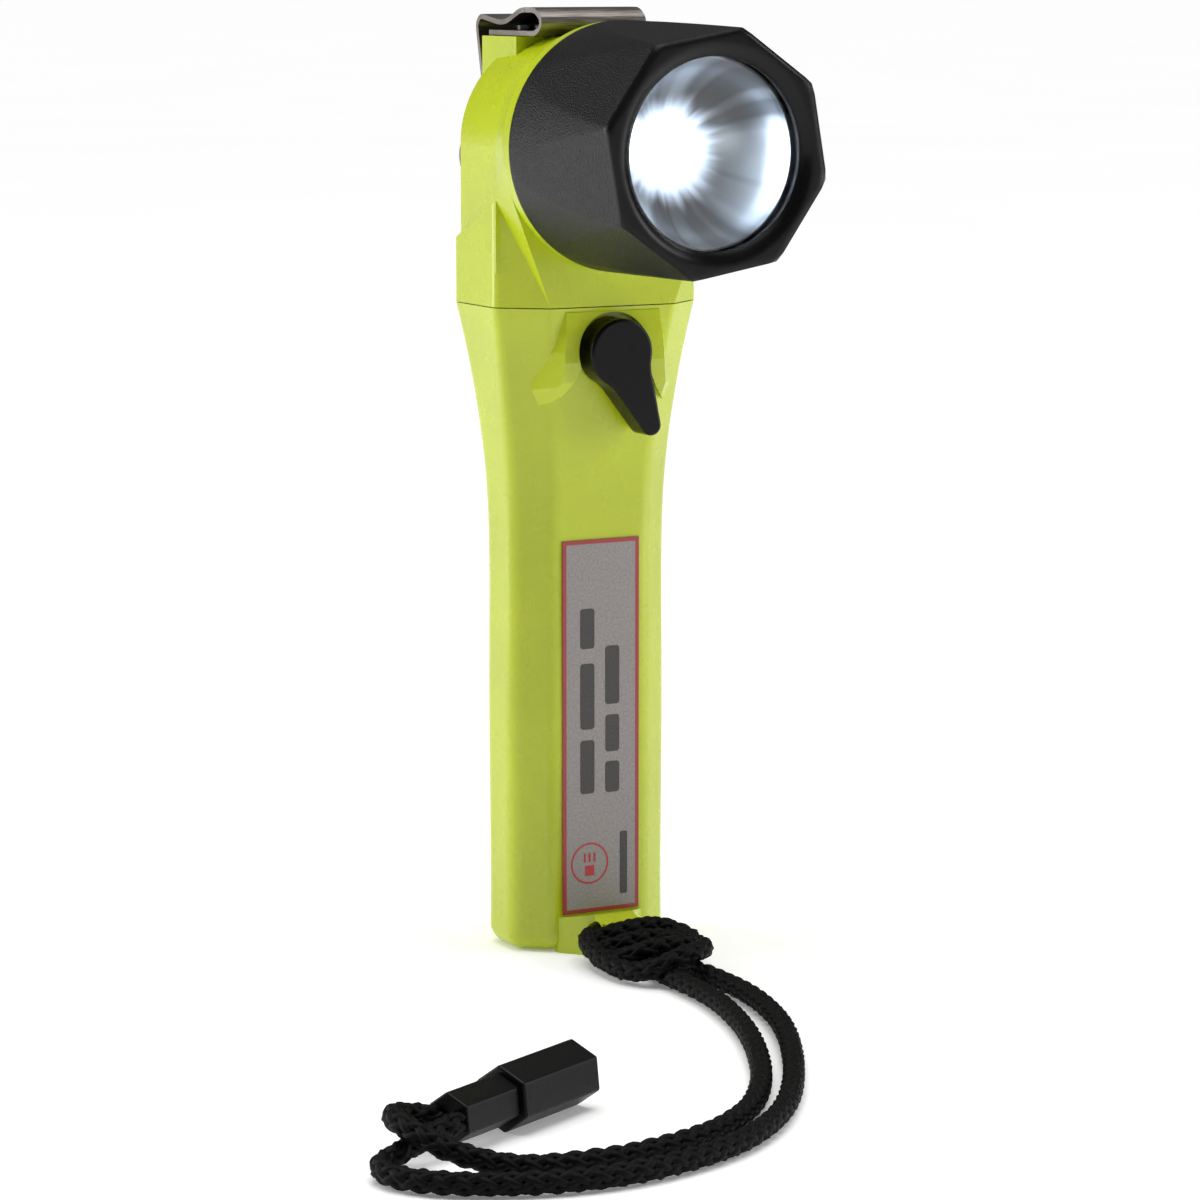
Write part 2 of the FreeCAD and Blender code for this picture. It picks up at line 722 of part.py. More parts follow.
def reflector():
    """A deep bright bowl with a rim that sits against the glass."""
    front = "dims.lens_back - 0.05"
    length = "dims.lens_back - dims.reflector_back + 1.0"
    outside = bowl("dims.reflector_radius + dims.reflector_wall", f"{length} + dims.reflector_wall", front)
    rim = cylinder("dims.lens_radius - 0.1", "1.2", (0, 0, f"{front} - 1.2"))
    inside = bowl("dims.reflector_radius", length, f"{front} + 0.01")
    throat = cylinder("3.9", "12", (0, 0, "dims.reflector_back - 8"))
    tail = cylinder("14", "8", (0, 0, "dims.reflector_back - 8"))
    keep(aim(cut(fuse(outside, rim), inside, throat, tail)), "reflector")


def shroud():
    """A screw-on bezel: round at the back, with eight flats that grow towards the front."""
    body = new_body("shroud")
    profile = [
        ("dims.shroud_rear", "dims.shroud_bore"),
        ("dims.shroud_rear", "dims.shroud_radius - 0.4"),
        ("dims.shroud_rear + 0.4", "dims.shroud_radius"),
        ("dims.shroud_front - 0.6", "dims.shroud_front_radius"),
        ("dims.shroud_front", "dims.shroud_front_radius - 0.7"),
        ("dims.shroud_front", "dims.lip_radius + dims.lip_chamfer"),
        ("dims.lip_back + 0.9", "dims.lip_radius"),
        ("dims.lip_back", "dims.lip_radius"),
        ("dims.lip_back", "dims.lens_bore"),
        ("dims.spigot_front + 5.5", "dims.lens_bore"),
        ("dims.spigot_front + 4.7", "dims.shroud_bore"),
    ]
    sketch = outline(body, "YZ_Plane", [(radius, along) for along, radius in profile])
    turned = body.newObject("PartDesign::Revolution", "turned")
    turned.Profile = sketch
    turned.ReferenceAxis = (sketch, ["V_Axis"])
    turned.Angle = 360
    doc.recompute()
    flat = [
        ("dims.shroud_radius + 0.05", "dims.shroud_rear + 1"),
        ("dims.flat_apothem", "dims.shroud_front + 0.1"),
        ("dims.shroud_radius + 4", "dims.shroud_front + 0.1"),
    ]
    first = pocket(body, outline(body, "YZ_Plane", flat), "34", both=True)
    pattern = body.newObject("PartDesign::PolarPattern", "flats")
    pattern.Originals = [first]
    pattern.Axis = (sketch, ["V_Axis"])
    pattern.Angle = 360
    pattern.Occurrences = 8
    body.Tip = pattern
    doc.recompute()
    aim(body, "dims.beam_height", 90 + 22.5 - mm("shroud_turned"))
    return keep(body, "shroud")


# Bent strips and cords: straight runs joined by tangent arcs

ROUNDING = 0.45  # share of the shorter run that an arc may use


def corner_arc(before, corner, after):
    """The arc at one corner: its radius, first point, middle point and last point."""
    one, two = (before - corner), (after - corner)
    shorter = min(one.Length, two.Length)
    one.normalize()
    two.normalize()
    half_turn = (math.pi - one.getAngle(two)) / 2
    reach = ROUNDING * shorter
    radius = reach / math.tan(half_turn)
    middle = (one + two).normalize()
    to_centre = math.hypot(radius, reach)
    return radius, corner + one * reach, corner + middle * (to_centre - radius), corner + two * reach


def rounded_path(points):
    """The wire and the radii of its arcs."""
    edges, radii, here = [], [], points[0]
    for before, corner, after in zip(points, points[1:], points[2:]):
        radius, start, middle, end = corner_arc(before, corner, after)
        edges.append(Part.LineSegment(here, start).toShape())
        edges.append(Part.Arc(start, middle, end).toShape())
        radii.append(radius)
        here = end
    edges.append(Part.LineSegment(here, points[-1]).toShape())
    return Part.Wire(edges), radii


def tube(points, diameter, label):
    """A round cord along a route, with its volume held against section times length."""
    path, radii = rounded_path(points)
    start = (points[1] - points[0]).normalize()
    section = Part.Wire(Part.makeCircle(diameter / 2, points[0], start))
    solid = path.makePipeShell([section], True, True)
    wanted = math.pi * diameter ** 2 / 4 * path.Length
    if abs(solid.Volume - wanted) > 0.02 * wanted:
        raise RuntimeError(f"{label} has {solid.Volume:.0f} mm3 and should have {wanted:.0f}")
    print(label, "length", round(path.Length, 1), "radii", [round(r, 1) for r in radii])
    feature = doc.addObject("Part::Feature", label)
    feature.Shape = solid
    return feature


CLIP_TOP = [(15.2, 185.35), (-5.6, 185.35), (-8.4, 187.6), (-5.4, 190.0), (-0.75, 190.0)]
CLIP_LEAF = [(-0.6, 190.0), (1.6, 189.8), (8.6, 187.1), (19.2, 188.6), (20.9, 187.0),
             (19.6, 181.0), (17.3, 171.6), (25.2, 165.4), (29.4, 160.8), (27.6, 156.4)]


def strip(points, label):
    """A bent strip of spring steel, as wide as the clip, from its side view."""
    path, _ = rounded_path([V(0, y, z) for y, z in points])
    half, thick = mm("clip_width") / 2, mm("clip_thick") / 2
    along = V(0, points[1][0] - points[0][0], points[1][1] - points[0][1]).normalize()
    side = V(1, 0, 0).cross(along)
    start = V(0, *points[0])
    corners = [start + V(half * a, 0, 0) + side * thick * b for a, b in ((-1, -1), (1, -1), (1, 1), (-1, 1))]
    section = Part.makePolygon(corners + corners[:1])
    solid = path.makePipeShell([section], True, False)
    feature = doc.addObject("Part::Feature", label)
    feature.Shape = solid
    return feature


def spring_clip():
    screws, holes = [], []
    for across in ("-dims.screw_spacing", "dims.screw_spacing"):
        head = cylinder("2.4", "0.9", (across, "dims.screw_back", "185.9"))
        shank = cylinder("dims.screw_radius", "5.1", (across, "dims.screw_back", "180.9"))
        screws.append(fuse(head, shank))
        holes.append(cylinder("dims.screw_radius + 0.1", "3", (across, "dims.screw_back", "184")))
    keep(cut(strip(CLIP_TOP, "clip_base_strip"), *holes), "clip_base")
    keep(strip(CLIP_LEAF, "clip_leaf"), "clip_leaf")
    keep(group(*screws), "clip_screws")


# The lanyard lies on the surface that the light stands on.

CORD_A = [(3.6, -46.0, 2.3), (4.4, -57.5, 2.3), (2.6, -72.3, 2.3), (-1.8, -87.8, 2.3), (-10.0, -105.4, 2.3),
          (-20.1, -123.2, 2.3), (-30.3, -137.6, 2.3), (-41.5, -148.5, 2.3), (-53.1, -155.2, 2.3),
          (-67.3, -159.5, 2.3), (-80.4, -159.8, 2.3), (-92.5, -156.5, 2.3), (-102.5, -151.0, 2.3),
          (-108.6, -143.6, 2.3), (-108.4, -136.8, 2.4), (-102.8, -134.2, 3.2), (-96.0, -132.9, 5.4)]
CORD_B = [(-3.6, -46.0, 2.3), (-3.2, -58.0, 2.3), (-5.3, -72.0, 2.3), (-10.0, -88.5, 2.3), (-17.0, -105.0, 2.3),
          (-24.6, -119.6, 2.3), (-33.7, -132.7, 2.3), (-43.4, -141.8, 2.3), (-54.2, -147.5, 2.3),
          (-65.9, -150.4, 2.3), (-78.0, -150.9, 2.3), (-89.0, -148.3, 2.4), (-97.5, -143.2, 4.8),
          (-102.2, -136.6, 7.7), (-102.8, -129.9, 8.4), (-98.6, -126.2, 7.6)]
FITTING_START = V(-91.2, -128.6, 6.0)
FITTING_WAY = V(0.89, 0.456, 0)


def moved(points, shift=V()):
    return [V(*p) + shift for p in points]


def prism(side, length, start, label):
    """A six-sided bar that lies on an edge."""
    way = FITTING_WAY.normalize()
    across = V(way.y, -way.x, 0)
    tilt = math.radians(6)
    corners = []
    for k in range(6):
        angle = tilt + math.radians(90 + 60 * k)
        corners.append(start + across * side * math.cos(angle) + V(0, 0, side * math.sin(angle)))
    face = Part.Face(Part.makePolygon(corners + corners[:1]))
    feature = doc.addObject("Part::Feature", label)
    feature.Shape = face.extrude(way * length)
    return feature


def lanyard():
    thick = mm("cord_diameter")
    way = V(FITTING_WAY).normalize()
    across = V(way.y, -way.x, 0) * (thick / 2 + 0.02)
    sleeve = prism(mm("sleeve_side"), mm("sleeve_length"), FITTING_START, "sleeve_bar")
    for points, side, label in ((CORD_A, 1, "lanyard_cord_a"), (CORD_B, -1, "lanyard_cord_b")):
        end = FITTING_START + across * side
        keep(cut(tube(moved(points) + [end], thick, f"{label}_tube"), sleeve), label)
    keep(sleeve, "cord_end_sleeve")
    cap_start = FITTING_START + way * mm("sleeve_length")
    keep(prism(mm("cap_side"), mm("cap_length"), cap_start, "cap_bar"), "cord_end_cap")
    hitch()


def hitch():
    """The cord's loop through the lug, and the knot of cord in front of it."""
    thick, height = mm("cord_diameter"), mm("lug_hole_height")
    back, wide, front = -mm("lug_hole_front"), 7.0, -36.0
    loop = [(wide, front, height), (wide + 0.3, back - 5, height), (wide - 1.8, back, height),
            (-wide + 1.8, back, height), (-wide - 0.3, back - 5, height), (-wide, front, height)]
    keep(tube(moved(loop), thick, "loop_tube"), "lanyard_loop")
    knot = doc.addObject("Part::Box", "knot")
    bind(knot, {"Length": "19", "Width": "9.5", "Height": "8.6"})
    put(knot, ("-9.5", "-45.7", "0.2"))
    rounded = doc.addObject("Part::Fillet", "knot_round")
    doc.recompute()
    rounded.Base = knot
    rounded.Edges = [(i + 1, 1.0, 1.0) for i, e in enumerate(knot.Shape.Edges) if e.BoundBox.YLength > 5]
    keep(rounded, "lanyard_knot")


battery_case()
label_plate()
cells()
base_contacts()
switch_lever()
switch_axle()
head_housing()
case_seal()
head_electrics()
lamp()
shroud()
spring_clip()
lanyard()
doc.recompute()

os.makedirs(PARTS, exist_ok=True)
faults = [o.Label for o in doc.Objects if "Invalid" in o.State or "Error" in o.State]
faults += [p.Label for p in SUB_PARTS if p.Shape.isNull() or not p.Shape.isValid()]
if faults:
    raise RuntimeError(f"not sound: {faults}")
for piece in SUB_PARTS:
    piece.Shape.exportStep(os.path.join(PARTS, f"{piece.Label}.step"))
    print(piece.Label, len(piece.Shape.Solids), round(piece.Shape.Volume, 1))
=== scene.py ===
import math

import bmesh
import bpy
from mathutils import Matrix, Vector


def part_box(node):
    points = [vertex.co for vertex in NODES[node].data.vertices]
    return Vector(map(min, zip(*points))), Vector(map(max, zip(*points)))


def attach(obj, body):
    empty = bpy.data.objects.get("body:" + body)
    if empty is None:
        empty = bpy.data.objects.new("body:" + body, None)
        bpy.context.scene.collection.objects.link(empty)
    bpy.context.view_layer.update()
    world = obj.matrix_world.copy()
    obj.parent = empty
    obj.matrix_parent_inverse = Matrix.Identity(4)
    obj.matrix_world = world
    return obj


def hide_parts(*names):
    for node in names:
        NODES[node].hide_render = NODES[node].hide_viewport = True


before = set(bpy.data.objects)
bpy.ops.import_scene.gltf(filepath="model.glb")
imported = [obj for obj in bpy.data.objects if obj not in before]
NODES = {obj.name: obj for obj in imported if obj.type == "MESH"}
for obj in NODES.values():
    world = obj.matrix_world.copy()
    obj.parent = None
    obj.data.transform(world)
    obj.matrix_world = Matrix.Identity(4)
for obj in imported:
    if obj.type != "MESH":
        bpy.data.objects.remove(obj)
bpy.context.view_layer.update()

MM = 0.001
BEAM = 163.5  # height of the lamp's axis
THROAT = 5.5  # radius of the hole in the bowl
SHORT_RAY, LONG_RAY = 8.0, 16.5  # radii at which the glow's shortest and longest rays end
RIM_START, RIM_END = -56.6, -57.8  # where the shroud's grain gives way to its smooth front rim


# Materials

def colour(hex_value):
    """An sRGB hex colour as linear RGBA."""
    parts = [int(hex_value[i:i + 2], 16) / 255 for i in (0, 2, 4)]
    return [c / 12.92 if c <= 0.04045 else ((c + 0.055) / 1.055) ** 2.4 for c in parts] + [1.0]


def add(tree, kind, inputs=None, **settings):
    """Adds a node, sets its properties, then sets its inputs or links them to other sockets."""
    made = tree.nodes.new(kind)
    for name, value in settings.items():
        setattr(made, name, value)
    for socket, value in (inputs or {}).items():
        if isinstance(value, bpy.types.NodeSocket):
            tree.links.new(value, made.inputs[socket])
        else:
            made.inputs[socket].default_value = value
    return made


SOCKETS = {"ior": "IOR", "specular_ior_level": "Specular IOR Level"}


def finish(name, base, roughness, **shader):
    """A new material with its plain shader numbers. Returns it with its tree and shader."""
    made = bpy.data.materials.new(name)
    made.use_nodes = True
    tree = made.node_tree
    surface = tree.nodes["Principled BSDF"]
    surface.inputs["Base Color"].default_value = colour(base)
    surface.inputs["Roughness"].default_value = roughness
    for socket, value in shader.items():
        surface.inputs[SOCKETS.get(socket, socket.replace("_", " ").title())].default_value = value
    return made, tree, surface


def pattern(tree, size_mm, detail, stretch=(1, 1, 1)):
    """A noise whose blotches are about size_mm across, in the piece's own metres."""
    where = add(tree, "ShaderNodeTexCoord").outputs["Object"]
    fitted = add(tree, "ShaderNodeMapping", {"Vector": where, "Scale": stretch}).outputs[0]
    return add(tree, "ShaderNodeTexNoise", {"Vector": fitted, "Scale": 1 / (size_mm * MM), "Detail": detail})


def ramp(tree, value, low, high, start=0.3, end=0.7):
    """A colour that runs from low to high as value goes from start to end."""
    made = add(tree, "ShaderNodeValToRGB", {"Fac": value})
    made.color_ramp.elements[0].position, made.color_ramp.elements[0].color = start, low
    made.color_ramp.elements[1].position, made.color_ramp.elements[1].color = end, high
    return made.outputs["Color"]


def scale_to(tree, value, low, high):
    """A number that runs from low to high as value goes from 0 to 1."""
    return add(tree, "ShaderNodeMapRange", {"Value": value, "To Min": low, "To Max": high}).outputs[0]


def bumped(tree, surface, height, depth_mm, after=None):
    """Raises the surface by depth_mm where height is 1."""
    inputs = {"Height": height, "Distance": depth_mm * MM, "Strength": 1.0}
    if after is not None:
        inputs["Normal"] = after
    tree.links.new(add(tree, "ShaderNodeBump", inputs).outputs[0], surface.inputs["Normal"])


def softened(tree, radius_mm):
    """The small radius that a mould leaves on every edge, as a normal."""
    return add(tree, "ShaderNodeBevel", {"Radius": radius_mm * MM}, samples=6).outputs[0]


def moulded(name, base, darker, roughness, grain_mm, grain_depth, **shader):
    """Moulded plastic: slow colour drift, a fine even grain left by the mould, and uneven gloss."""
    made, tree, surface = finish(name, base, roughness, **shader)
    drift = pattern(tree, 22, 3).outputs[0]
    tree.links.new(ramp(tree, drift, colour(darker), colour(base)), surface.inputs["Base Color"])
    grain = pattern(tree, grain_mm, 3).outputs[0]
    gloss = pattern(tree, 6, 2).outputs[0]
    tree.links.new(scale_to(tree, gloss, roughness - 0.06, roughness + 0.06), surface.inputs["Roughness"])
    bumped(tree, surface, grain, grain_depth)
    return made


def lime_polycarbonate():
    """High-visibility polycarbonate, injection moulded: satin yellow-green with a faint mould grain."""
    return moulded("lime_polycarbonate", "BBCB10", "B1C00B", 0.28, 0.35, 0.005, ior=1.58)


def eroded_nylon():
    """Black nylon from a spark-eroded mould: a sharp sandy grain all round, and a polished front rim."""
    made, tree, surface = finish("eroded_black_nylon", "0A0A0B", 0.42, ior=1.53, specular_ior_level=0.2)
    where = add(tree, "ShaderNodeTexCoord").outputs["Object"]
    along = add(tree, "ShaderNodeSeparateXYZ", {"Vector": where}).outputs["Y"]
    rim = add(tree, "ShaderNodeMapRange",
              {"Value": along, "From Min": RIM_START * MM, "From Max": RIM_END * MM}).outputs[0]
    grit = add(tree, "ShaderNodeTexVoronoi", {"Vector": where, "Scale": 1 / (0.34 * MM)}, feature="SMOOTH_F1")
    sand = pattern(tree, 0.3, 4).outputs[0]
    both = add(tree, "ShaderNodeMath", {0: grit.outputs["Distance"], 1: sand}, operation="ADD").outputs[0]
    flattened = add(tree, "ShaderNodeMath", {0: 1.0, 1: rim}, operation="SUBTRACT").outputs[0]
    raised = add(tree, "ShaderNodeMath", {0: both, 1: flattened}, operation="MULTIPLY").outputs[0]
    bumped(tree, surface, raised, 0.15, softened(tree, 1.8))
    tree.links.new(scale_to(tree, rim, 0.4, 0.2), surface.inputs["Roughness"])
    tone = ramp(tree, sand, colour("030304"), colour("0F0F11"), 0.4, 0.6)
    tree.links.new(tone, surface.inputs["Base Color"])
    return made


def gloss_acetal():
    """Black acetal, moulded and smooth: soft gloss with faint handling scuffs."""
    return moulded("gloss_black_acetal", "070708", "040405", 0.28, 0.9, 0.006, ior=1.48,
                   specular_ior_level=0.2)


def matt_nylon():
    """Black moulded nylon of the cord end: matt, from a lightly blasted mould, and slightly uneven."""
    return moulded("matt_black_nylon", "08080A", "040405", 0.4, 0.45, 0.05, ior=1.53,
                   specular_ior_level=0.16)


def black_abs():
    """Black ABS inside the lamp: plain satin moulding."""
    return moulded("black_abs", "101010", "0B0B0B", 0.38, 0.5, 0.01, ior=1.53)


def brushed_spring_steel():
    """Tempered spring steel strip, brown-grey from tempering, with brush lines across its length."""
    made, tree, surface = finish("blued_spring_steel", "7A746D", 0.34, metallic=1.0)
    lines = pattern(tree, 0.35, 3, stretch=(0.06, 1, 1)).outputs[0]
    tone = pattern(tree, 9, 2).outputs[0]
    mixed = add(tree, "ShaderNodeMath", {0: lines, 1: tone}, operation="ADD").outputs[0]
    halved = add(tree, "ShaderNodeMath", {0: mixed, 1: 0.5}, operation="MULTIPLY").outputs[0]
    tree.links.new(ramp(tree, halved, colour("544D47"), colour("A09A93")), surface.inputs["Base Color"])
    tree.links.new(scale_to(tree, lines, 0.24, 0.42), surface.inputs["Roughness"])
    bumped(tree, surface, lines, 0.008)
    return made


def black_oxide_steel():
    """Black-oxide screw steel: dark grey with fine turning marks."""
    made, tree, surface = finish("black_oxide_steel", "3A3A3C", 0.34, metallic=1.0)
    marks = pattern(tree, 0.3, 2, stretch=(1, 1, 0.2)).outputs[0]
    tree.links.new(scale_to(tree, marks, 0.2, 0.4), surface.inputs["Roughness"])
    bumped(tree, surface, marks, 0.006)
    return made


def cord_polypropylene():
    """Black braided polypropylene cord: each strand a bundle of fine filaments, almost without gloss."""
    made, tree, surface = finish("braided_polypropylene", "060606", 0.55, ior=1.49,
                                 specular_ior_level=0.12)
    fibres = pattern(tree, 0.25, 3).outputs[0]
    fuzz = pattern(tree, 1.3, 3).outputs[0]
    tree.links.new(ramp(tree, fuzz, colour("020202"), colour("070708")), surface.inputs["Base Color"])
    tree.links.new(scale_to(tree, fibres, 0.45, 0.7), surface.inputs["Roughness"])
    bumped(tree, surface, fibres, 0.05)
    return made


def printed_film():
    """Grey polyester label film with a dark red printed border, lightly textured by its backing."""
    made, tree, surface = finish("printed_label_film", "8D8784", 0.42, ior=1.6)
    low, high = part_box("label_plate")
    where = add(tree, "ShaderNodeTexCoord").outputs["Object"]
    parts = add(tree, "ShaderNodeSeparateXYZ", {"Vector": where}).outputs
    border = 0.85 * MM
    near_edge = []
    for axis, least, most in (("X", low.x, high.x), ("Z", low.z, high.z)):
        off = add(tree, "ShaderNodeMath", {0: parts[axis], 1: (least + most) / 2}, operation="SUBTRACT")
        off = add(tree, "ShaderNodeMath", {0: off.outputs[0]}, operation="ABSOLUTE")
        inner = (most - least) / 2 - border
        past = add(tree, "ShaderNodeMath", {0: off.outputs[0], 1: inner}, operation="GREATER_THAN")
        near_edge.append(past.outputs[0])
    edge = add(tree, "ShaderNodeMath", {0: near_edge[0], 1: near_edge[1]}, operation="MAXIMUM").outputs[0]
    mottle = ramp(tree, pattern(tree, 0.5, 3).outputs[0], colour("827C79"), colour("98928F"))
    painted = add(tree, "ShaderNodeMix", {0: edge, 6: mottle, 7: colour("9C2B2E")}, data_type="RGBA")
    tree.links.new(painted.outputs[2], surface.inputs["Base Color"])
    bumped(tree, surface, pattern(tree, 0.25, 2).outputs[0], 0.008)
    return made


def print_ink(name, base):
    """Screen-printed ink: flat, slightly uneven cover."""
    made, tree, surface = finish(name, base, 0.5)
    cover = pattern(tree, 0.3, 3).outputs[0]
    strong = colour(base)
    thin = [c + 0.03 for c in strong[:3]] + [1.0]
    tree.links.new(ramp(tree, cover, strong, thin), surface.inputs["Base Color"])
    return made


def clear_polycarbonate():
    """Clear moulded polycarbonate window, hard coated: glossy, with a few faint hazy patches."""
    made, tree, surface = finish("clear_polycarbonate", "FBFDFF", 0.015, ior=1.585, transmission_weight=1.0)
    scuffs = pattern(tree, 5, 2).outputs[0]
    tree.links.new(scale_to(tree, scuffs, 0.0, 0.03), surface.inputs["Roughness"])
    return made


def from_axis(tree):
    """Distance from the beam's axis and the angle round it, from the piece's own coordinates."""
    where = add(tree, "ShaderNodeTexCoord").outputs["Object"]
    centred = add(tree, "ShaderNodeMapping", {"Vector": where, "Location": (0, 0, -BEAM * MM)}).outputs[0]
    parts = add(tree, "ShaderNodeSeparateXYZ", {"Vector": centred}).outputs
    flat = add(tree, "ShaderNodeCombineXYZ", {"X": parts["X"], "Z": parts["Z"]}).outputs[0]
    radius = add(tree, "ShaderNodeVectorMath", {0: flat}, operation="LENGTH").outputs["Value"]
    angle = add(tree, "ShaderNodeMath", {0: parts["Z"], 1: parts["X"]}, operation="ARCTAN2").outputs[0]
    return radius, angle


def metallised_bowl():
    """Plastic bowl with evaporated aluminium: broad radial facets, painted as dark and bright sectors of
    reflection, and a painted glow of emission round the lamp.
    """
    made, tree, surface = finish("evaporated_aluminium", "A9B2B8", 0.1, metallic=1.0)
    radius, angle = from_axis(tree)
    sweep = add(tree, "ShaderNodeCombineXYZ", {
        "X": add(tree, "ShaderNodeMath", {0: angle}, operation="COSINE").outputs[0],
        "Y": add(tree, "ShaderNodeMath", {0: angle}, operation="SINE").outputs[0]}).outputs[0]
    sectors = add(tree, "ShaderNodeTexNoise", {"Vector": sweep, "Scale": 1.6, "Detail": 2.0}).outputs[0]
    rays = add(tree, "ShaderNodeTexNoise", {"Vector": sweep, "Scale": 4.5, "Detail": 2.0}).outputs[0]
    # Painted reflection: the base colour runs between dark and bright sectors round the axis, standing in for
    # the facets' reflections
    tone = ramp(tree, sectors, colour("474F56"), colour("B4BCC2"), 0.42, 0.58)
    tree.links.new(tone, surface.inputs["Base Color"])
    tree.links.new(scale_to(tree, sectors, 0.2, 0.4), surface.inputs["Roughness"])
    # Painted glow: emission that fades outward from the throat in uneven rays, standing in for the lamp's
    # light on the bowl
    reach = scale_to(tree, rays, SHORT_RAY * MM, LONG_RAY * MM)
    glow = add(tree, "ShaderNodeMapRange",
               {"Value": radius, "From Min": THROAT * MM, "From Max": reach, "To Min": 1.0, "To Max": 0.0},
               interpolation_type="SMOOTHSTEP").outputs[0]
    sharp = add(tree, "ShaderNodeMath", {0: glow, 1: 1.6}, operation="POWER").outputs[0]
    strength = add(tree, "ShaderNodeMath", {0: sharp, 1: 2.2}, operation="MULTIPLY").outputs[0]
    surface.inputs["Emission Color"].default_value = colour("D8E9FF")
    tree.links.new(strength, surface.inputs["Emission Strength"])
    return made


def lit_board():
    """White-coated aluminium lamp board, with a painted glow of emission, brightest by the lamp, standing in
    for the lamp's light on it.
    """
    made, tree, surface = finish("white_lamp_board", "F4F6F8", 0.5)
    radius, _ = from_axis(tree)
    # Painted glow: emission strongest at the axis and weaker outward, standing in for the lamp's light on the
    # board
    glow = add(tree, "ShaderNodeMapRange", {"Value": radius, "From Min": 0.002, "From Max": 0.006,
                                            "To Min": 6.0, "To Max": 3.0}).outputs[0]
    surface.inputs["Emission Color"].default_value = colour("E6F1FF")
    tree.links.new(glow, surface.inputs["Emission Strength"])
    return made


def lit_phosphor():
    """The lamp's phosphor dome, lit: blue-white and far brighter than anything round it."""
    made, tree, surface = finish("lit_phosphor", "FFFFFF", 0.3)
    radius, _ = from_axis(tree)
    strength = add(tree, "ShaderNodeMapRange", {"Value": radius, "From Min": 0.001, "From Max": 0.0036,
                                                "To Min": 60.0, "To Max": 12.0}).outputs[0]
    surface.inputs["Emission Color"].default_value = colour("EEF5FF")
    tree.links.new(strength, surface.inputs["Emission Strength"])
    return made


def nitrile():
    """Black moulded nitrile rubber: matt, with a faint grain."""
    return moulded("nitrile_rubber", "161616", "0F0F0F", 0.68, 0.7, 0.02)


def bare_metal(name, base, darker, roughness):
    """Rolled or cast metal left bare: fine lines and an uneven tone."""
    made, tree, surface = finish(name, base, roughness, metallic=1.0)
    tone = pattern(tree, 3, 4).outputs[0]
    tree.links.new(ramp(tree, tone, colour(darker), colour(base)), surface.inputs["Base Color"])
    bumped(tree, surface, pattern(tree, 0.3, 2, stretch=(0.2, 1, 1)).outputs[0], 0.006)
    return made


def circuit_board():
    """Glass-epoxy board under green solder mask: weave just showing through."""
    made, tree, surface = finish("green_solder_mask", "1F6B3A", 0.35)
    weave = add(tree, "ShaderNodeTexChecker",
                {"Vector": add(tree, "ShaderNodeTexCoord").outputs["Object"], "Scale": 1 / (0.8 * MM),
                 "Color1": colour("1F6B3A"), "Color2": colour("1A5F33")})
    tree.links.new(weave.outputs["Color"], surface.inputs["Base Color"])
    return made


def cell_sleeve():
    """Plastic-wrapped alkaline cell: dark sleeve with a copper-toned band near the top end."""
    made, tree, surface = finish("cell_sleeve", "2B2E33", 0.3)
    where = add(tree, "ShaderNodeTexCoord").outputs["Object"]
    height = add(tree, "ShaderNodeSeparateXYZ", {"Vector": where}).outputs["Z"]
    bands = add(tree, "ShaderNodeMath", {0: height, 1: 50.5 * MM}, operation="MODULO").outputs[0]
    top = add(tree, "ShaderNodeMath", {0: bands, 1: 38 * MM}, operation="GREATER_THAN").outputs[0]
    painted = add(tree, "ShaderNodeMix", {0: top, 6: colour("2B2E33"), 7: colour("A86A3A")}, data_type="RGBA")
    tree.links.new(painted.outputs[2], surface.inputs["Base Color"])
    bumped(tree, surface, pattern(tree, 0.6, 2).outputs[0], 0.01)
    return made


def wire_insulation():
    """PVC insulation on the lamp leads: dull red, slightly waxy."""
    return moulded("pvc_insulation", "8E1F1C", "7A1916", 0.45, 0.4, 0.01)


LIME = lime_polycarbonate()
SHROUD = eroded_nylon()
LEVER = gloss_acetal()
FITTING = matt_nylon()
INNER_BLACK = black_abs()
SPRING = brushed_spring_steel()
SCREW = black_oxide_steel()
CORD = cord_polypropylene()
FILM = printed_film()
DARK_INK = print_ink("dark_ink", "33302F")
RED_INK = print_ink("red_ink", "B0262B")
CLEAR = clear_polycarbonate()
MIRROR = metallised_bowl()
LAMP = lit_phosphor()
LAMP_BOARD = lit_board()
RUBBER = nitrile()
BRASS = bare_metal("nickelled_brass", "C8B98A", "A5925F", 0.3)
ALUMINIUM = bare_metal("cast_aluminium", "A8ABAD", "8C8F92", 0.4)
BOARD = circuit_board()
CELL = cell_sleeve()
WIRE = wire_insulation()

NODE_FINISH = {
    "battery_case": LIME, "head_housing": LIME, "label_plate": FILM, "switch_lever": LEVER,
    "shroud": SHROUD, "lens": CLEAR, "lens_seal": RUBBER, "lens_clamp_ring": INNER_BLACK,
    "reflector": MIRROR, "led_dome": LAMP, "led_board": LAMP_BOARD, "heat_sink": ALUMINIUM,
    "clip_base": SPRING, "clip_leaf": SPRING, "clip_screws": SCREW, "switch_seal": RUBBER,
    "case_seal": RUBBER, "switch_spindle": SCREW, "switch_retainer": SPRING, "switch_wiper": BRASS,
    "switch_contact": BRASS, "base_contact": BRASS, "base_springs": SPRING, "case_conductor": BRASS,
    "contact_leaves": BRASS, "contact_board": BOARD, "driver_board": BOARD, "lamp_leads": WIRE,
    "battery_1": CELL, "battery_2": CELL, "battery_3": CELL, "battery_4": CELL,
    "cord_end_sleeve": FITTING, "cord_end_cap": FITTING,
}
for node, material in NODE_FINISH.items():
    NODES[node].data.materials.clear()
    NODES[node].data.materials.append(material)


# Pieces

def piece(name, mesh, material, body, slot, *nodes):
    """A finished mesh as a piece that rides on a body and stands for some nodes."""
    made = bpy.data.objects.new(name, mesh)
    bpy.context.scene.collection.objects.link(made)
    if not mesh.materials:
        mesh.materials.append(material)
    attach(made, body)
    if nodes:
        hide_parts(*nodes)
    return made


